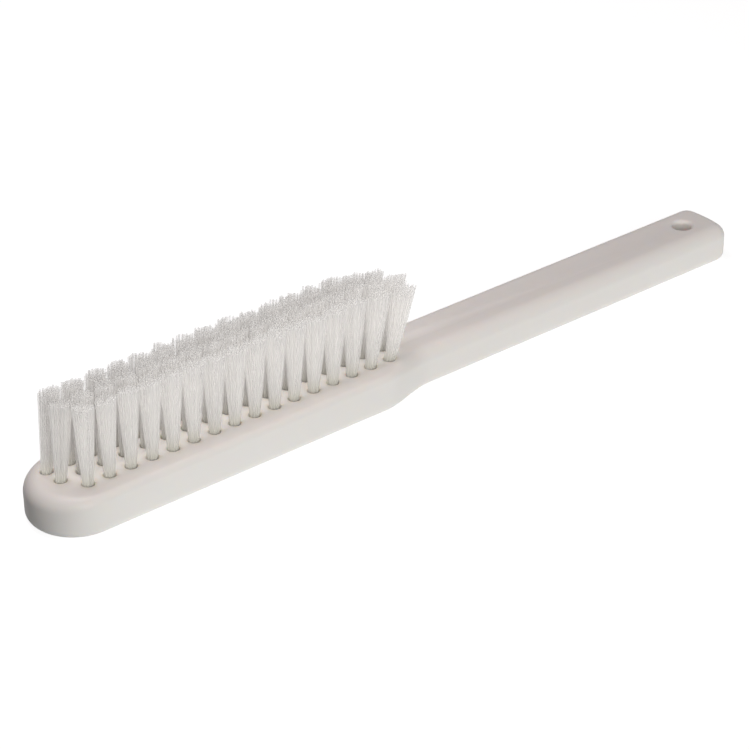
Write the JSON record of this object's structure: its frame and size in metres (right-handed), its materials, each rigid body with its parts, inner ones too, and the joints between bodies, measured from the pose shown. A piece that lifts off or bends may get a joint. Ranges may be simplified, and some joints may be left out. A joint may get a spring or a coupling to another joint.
{
  "type": "hand brush",
  "caption": "Slim hand brush: a round-tipped block with rows of upright clear tufts, in one moulding with a flat handle that has a hang hole.",
  "frame": {"origin": "on the flat back, below the middle of the length and width", "axes": "+X from the round tip to the hang hole, +Y across the brush, +Z from the flat back to the tuft tips"},
  "size_m": [0.254, 0.028, 0.0363],
  "materials": {
    "white_plastic": "semi-gloss moulded white plastic, slightly warm",
    "clear_nylon": "clear nylon filament, translucent, with cut tips"
  },
  "bodies": {
    "root": {"block_and_handle": "white_plastic", "tuft_front_01": "clear_nylon", "tuft_front_02": "clear_nylon", "tuft_front_03": "clear_nylon", "tuft_front_04": "clear_nylon", "tuft_front_05": "clear_nylon", "tuft_front_06": "clear_nylon", "tuft_front_07": "clear_nylon", "tuft_front_08": "clear_nylon", "tuft_front_09": "clear_nylon", "tuft_front_10": "clear_nylon", "tuft_front_11": "clear_nylon", "tuft_front_12": "clear_nylon", "tuft_front_13": "clear_nylon", "tuft_front_14": "clear_nylon", "tuft_front_15": "clear_nylon", "tuft_front_16": "clear_nylon", "tuft_middle_01": "clear_nylon", "tuft_middle_02": "clear_nylon", "tuft_middle_03": "clear_nylon", "tuft_middle_04": "clear_nylon", "tuft_middle_05": "clear_nylon", "tuft_middle_06": "clear_nylon", "tuft_middle_07": "clear_nylon", "tuft_middle_08": "clear_nylon", "tuft_middle_09": "clear_nylon", "tuft_middle_10": "clear_nylon", "tuft_middle_11": "clear_nylon", "tuft_middle_12": "clear_nylon", "tuft_middle_13": "clear_nylon", "tuft_middle_14": "clear_nylon", "tuft_middle_15": "clear_nylon", "tuft_middle_16": "clear_nylon", "tuft_middle_17": "clear_nylon", "tuft_back_01": "clear_nylon", "tuft_back_02": "clear_nylon", "tuft_back_03": "clear_nylon", "tuft_back_04": "clear_nylon", "tuft_back_05": "clear_nylon", "tuft_back_06": "clear_nylon", "tuft_back_07": "clear_nylon", "tuft_back_08": "clear_nylon", "tuft_back_09": "clear_nylon", "tuft_back_10": "clear_nylon", "tuft_back_11": "clear_nylon", "tuft_back_12": "clear_nylon", "tuft_back_13": "clear_nylon", "tuft_back_14": "clear_nylon", "tuft_back_15": "clear_nylon", "tuft_back_16": "clear_nylon"}
  },
  "joints": []
}
